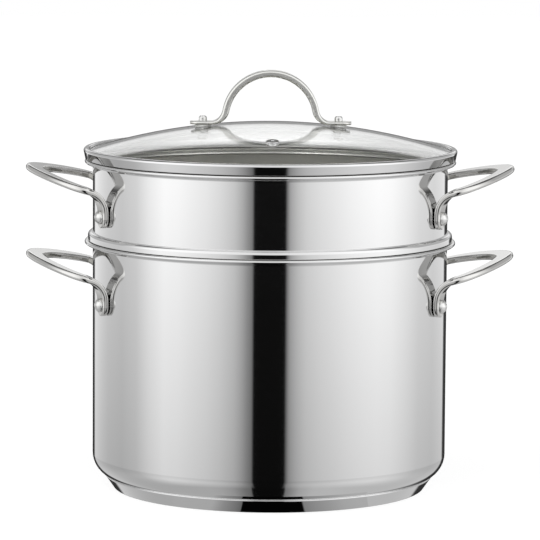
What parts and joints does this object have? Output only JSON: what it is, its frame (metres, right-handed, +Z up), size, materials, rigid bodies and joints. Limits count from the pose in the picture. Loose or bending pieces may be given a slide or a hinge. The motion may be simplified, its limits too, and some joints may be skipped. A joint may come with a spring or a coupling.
{
  "type": "pasta pot with strainer insert",
  "caption": "Stainless steel pasta pot with a lift-out perforated strainer insert, loop handles and a domed glass lid with an arched strap handle and steam vent.",
  "frame": {"origin": "centre of the base's underside, on the upright axis", "axes": "+Z up, X along the loop handles, -Y the front with the lid's steam vent"},
  "size_m": [0.3328, 0.255, 0.2854],
  "materials": {
    "steel": "mirror-polished stainless steel",
    "base": "mirror-polished stainless steel",
    "handles": "polished cast stainless steel",
    "fasteners": "polished stainless steel",
    "core": "plain rolled aluminium",
    "glass": "clear tempered glass",
    "silicone": "clear silicone"
  },
  "bodies": {
    "pot": {"pot_body": "steel", "base_core": "core", "base_cap": "base", "pot_handle_right": "handles", "pot_handle_left": "handles", "pot_rivet_right_front": "fasteners", "pot_rivet_right_rear": "fasteners", "pot_rivet_left_front": "fasteners", "pot_rivet_left_rear": "fasteners"},
    "insert": {"insert_basket": "steel", "insert_handle_right": "handles", "insert_handle_left": "handles", "insert_rivet_right_front": "fasteners", "insert_rivet_right_rear": "fasteners", "insert_rivet_left_front": "fasteners", "insert_rivet_left_rear": "fasteners"},
    "lid": {"lid_glass": "glass", "lid_rim": "steel", "lid_handle": "handles", "steam_vent_eyelet": "fasteners", "lid_screw_right": "fasteners", "lid_screw_left": "fasteners", "lid_cap_nut_right": "fasteners", "lid_cap_nut_left": "fasteners", "lid_upper_gasket_right": "silicone", "lid_upper_gasket_left": "silicone", "lid_lower_gasket_right": "silicone", "lid_lower_gasket_left": "silicone", "lid_washer_right": "fasteners", "lid_washer_left": "fasteners"}
  },
  "joints": [
    {"name": "insert_lift", "type": "slide", "parent": "pot", "child": "insert", "axis": [0, 0, 1], "range_m": [0, 0.16]},
    {"name": "lid_lift", "type": "slide", "parent": "insert", "child": "lid", "axis": [0, 0, 1], "range_m": [0, 0.1]}
  ]
}
